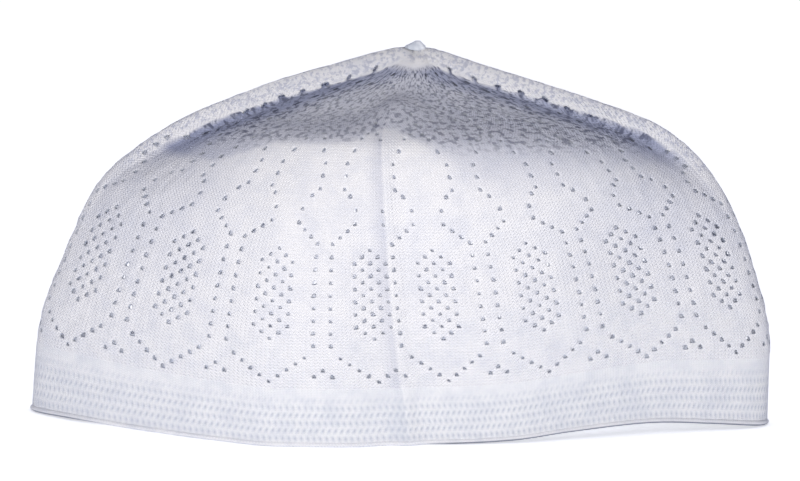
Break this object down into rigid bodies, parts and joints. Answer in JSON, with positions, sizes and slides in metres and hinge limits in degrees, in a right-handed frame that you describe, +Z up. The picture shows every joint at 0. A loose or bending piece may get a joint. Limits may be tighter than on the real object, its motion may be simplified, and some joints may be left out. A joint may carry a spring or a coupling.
{
  "type": "kufi cap",
  "caption": "White knitted kufi cap with an openwork wall, a ribbed hem band, a rolled edge and a gathered tip, standing on its hem.",
  "frame": {"origin": "centre of the bounding box in plan, on the surface that the hem stands on", "axes": "+X runs from the cap's left fold to its right fold as seen from the front, the front seam faces -Y, +Z is up towards the tip"},
  "size_m": [0.2152, 0.0857, 0.111],
  "materials": {
    "openwork_knit": "soft matt machine-knitted white cotton with eyelets",
    "ribbed_knit": "dense ribbed white cotton knit, matt",
    "rolled_edge": "smooth rolled white cotton edge, matt",
    "gathered_yarn": "drawn-in white cotton yarn, matt, a little greyed"
  },
  "bodies": {
    "root": {"knitted_body": "openwork_knit", "hem_band": "ribbed_knit", "edge_welt": "rolled_edge", "tip_stub": "gathered_yarn"}
  },
  "joints": []
}
